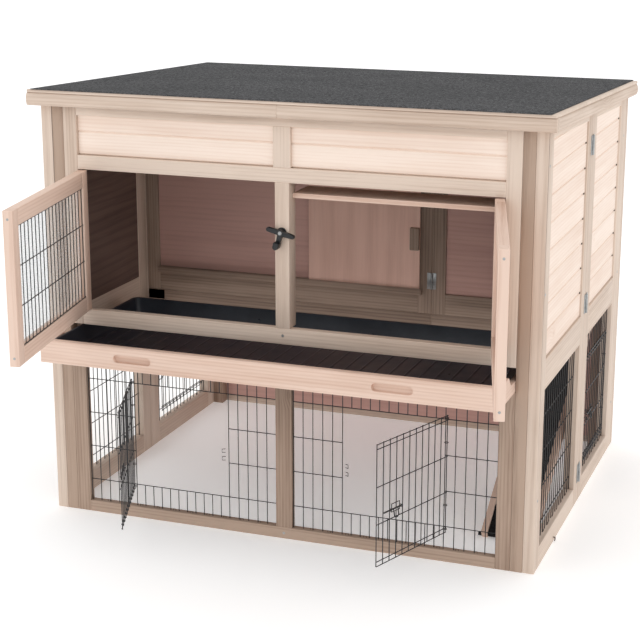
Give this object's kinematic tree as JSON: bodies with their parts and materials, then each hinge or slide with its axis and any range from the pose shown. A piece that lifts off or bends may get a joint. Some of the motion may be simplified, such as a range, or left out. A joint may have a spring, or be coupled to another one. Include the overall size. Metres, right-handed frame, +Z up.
{
  "type": "rabbit hutch",
  "caption": "Two-level wooden rabbit hutch: boarded house with two doors and a sliding passage, pull-out tray, wire run with hinged wire doors, ramp and sloping felt roof.",
  "frame": {"origin": "on the ground under the middle of the run's front bottom rail, halfway through its thickness", "axes": "+X to the right of someone facing the doors, +Y towards the back wall, +Z up"},
  "size_m": [1.1744, 1.3533, 0.9692],
  "materials": {
    "stained_timber": "grey-taupe stained softwood, satin",
    "cream_boards": "pale untreated tongue-and-groove boards",
    "natural_pine": "planed natural pine",
    "brown_plywood": "red-brown stained plywood",
    "dark_timber": "stained softwood in the interior",
    "roof_felt": "bitumen felt with mineral granules",
    "black_wire": "black powder-coated wire",
    "black_plastic": "moulded black plastic",
    "clear_pane": "clear plastic sheet"
  },
  "bodies": {
    "hutch": {"corner_post_front_left": "stained_timber", "corner_post_front_right": "stained_timber", "corner_post_back_left": "stained_timber", "corner_post_back_right": "stained_timber", "upper_front_frame": "stained_timber", "header_boards": "cream_boards", "lower_front_frame": "stained_timber", "front_mesh_left": "black_wire", "front_mesh_right": "black_wire", "side_frame_left_front": "stained_timber", "side_frame_left_back": "stained_timber", "side_frame_right_front": "stained_timber", "side_frame_right_back": "stained_timber", "side_boards_left_front": "cream_boards", "side_boards_left_back": "cream_boards", "side_boards_right_front": "cream_boards", "side_boards_right_back": "cream_boards", "side_mesh_left_front": "black_wire", "side_mesh_left_back": "black_wire", "side_mesh_right_front": "black_wire", "side_mesh_right_back": "black_wire", "back_frame": "stained_timber", "back_panel": "brown_plywood", "ledge_left": "dark_timber", "ledge_right": "dark_timber", "back_floor": "brown_plywood", "partition_frame_left": "stained_timber", "partition_frame_right": "stained_timber", "partition_panel_left": "brown_plywood", "partition_panel_right": "brown_plywood", "stop_board": "natural_pine", "roof_board": "brown_plywood", "roof_felt": "roof_felt", "roof_trim_front_left": "stained_timber", "roof_trim_front_right": "stained_timber", "roof_trim_left": "stained_timber", "roof_trim_right": "stained_timber"},
    "passage_door": {"slide_door": "brown_plywood"},
    "left_door": {"left_door_frame": "natural_pine", "left_door_mesh": "black_wire", "left_door_pane": "clear_pane"},
    "right_door": {"right_door_frame": "natural_pine", "right_door_boards": "natural_pine"},
    "latch": {"turn_latch": "black_plastic"},
    "drawer": {"drawer_front": "natural_pine", "drawer_side_left": "natural_pine", "drawer_side_right": "natural_pine", "drawer_back": "natural_pine", "drawer_tray": "black_plastic"},
    "run_door_left": {"wire_door_left": "black_wire"},
    "run_door_right": {"wire_door_right": "black_wire"},
    "run_bolt_left": {"wire_bolt_left": "black_wire"},
    "run_bolt_right": {"wire_bolt_right": "black_wire"},
    "side_door_left": {"side_wire_door_left": "black_wire"},
    "side_door_right": {"side_wire_door_right": "black_wire"},
    "side_bolt_left": {"side_wire_bolt_left": "black_wire"},
    "side_bolt_right": {"side_wire_bolt_right": "black_wire"},
    "ramp": {"ramp_board": "black_plastic", "ramp_rail_left": "natural_pine", "ramp_rail_right": "natural_pine"}
  },
  "joints": [
    {"name": "left_door_hinge", "type": "hinge", "parent": "hutch", "child": "left_door", "pos_m": [-0.475, -0.01, 0.635], "axis": [0, 0, -1], "range_deg": [-80, 90]},
    {"name": "right_door_hinge", "type": "hinge", "parent": "hutch", "child": "right_door", "pos_m": [0.475, -0.01, 0.635], "axis": [0, 0, 1], "range_deg": [-105, 65]},
    {"name": "latch_turn", "type": "hinge", "parent": "hutch", "child": "latch", "pos_m": [0, -0.015, 0.689], "axis": [0, 1, 0], "range_deg": [-90, 90]},
    {"name": "drawer_slide", "type": "slide", "parent": "hutch", "child": "drawer", "axis": [0, -1, 0], "range_m": [-0.14, 0.24]},
    {"name": "passage_door_slide", "type": "slide", "parent": "hutch", "child": "passage_door", "axis": [-1, 0, 0], "range_m": [0, 0.26]},
    {"name": "run_door_left_hinge", "type": "hinge", "parent": "hutch", "child": "run_door_left", "pos_m": [-0.36575, -0.0035, 0.196], "axis": [0, 0, -1], "range_deg": [-70, 90]},
    {"name": "run_door_right_hinge", "type": "hinge", "parent": "hutch", "child": "run_door_right", "pos_m": [0.36575, -0.0035, 0.196], "axis": [0, 0, 1], "range_deg": [-70, 90]},
    {"name": "run_bolt_left_slide", "type": "slide", "parent": "run_door_left", "child": "run_bolt_left", "axis": [0.342, -0.9397, 0], "range_m": [0, 0.03]},
    {"name": "run_bolt_right_slide", "type": "slide", "parent": "run_door_right", "child": "run_bolt_right", "axis": [-0.342, -0.9397, 0], "range_m": [0, 0.03]},
    {"name": "side_door_left_hinge", "type": "hinge", "parent": "hutch", "child": "side_door_left", "pos_m": [-0.551, 0.7647, 0.196], "axis": [0, 0, -1], "range_deg": [0, 120]},
    {"name": "side_door_right_hinge", "type": "hinge", "parent": "hutch", "child": "side_door_right", "pos_m": [0.551, 0.7647, 0.196], "axis": [0, 0, 1], "range_deg": [0, 120]},
    {"name": "side_bolt_left_slide", "type": "slide", "parent": "side_door_left", "child": "side_bolt_left", "axis": [0, -1, 0], "range_m": [0, 0.03]},
    {"name": "side_bolt_right_slide", "type": "slide", "parent": "side_door_right", "child": "side_bolt_right", "axis": [0, -1, 0], "range_m": [0, 0.03]},
    {"name": "ramp_pivot", "type": "hinge", "parent": "hutch", "child": "ramp", "pos_m": [0.467, 0.814, 0.416], "axis": [-1, 0, 0], "range_deg": [0, 18]}
  ]
}
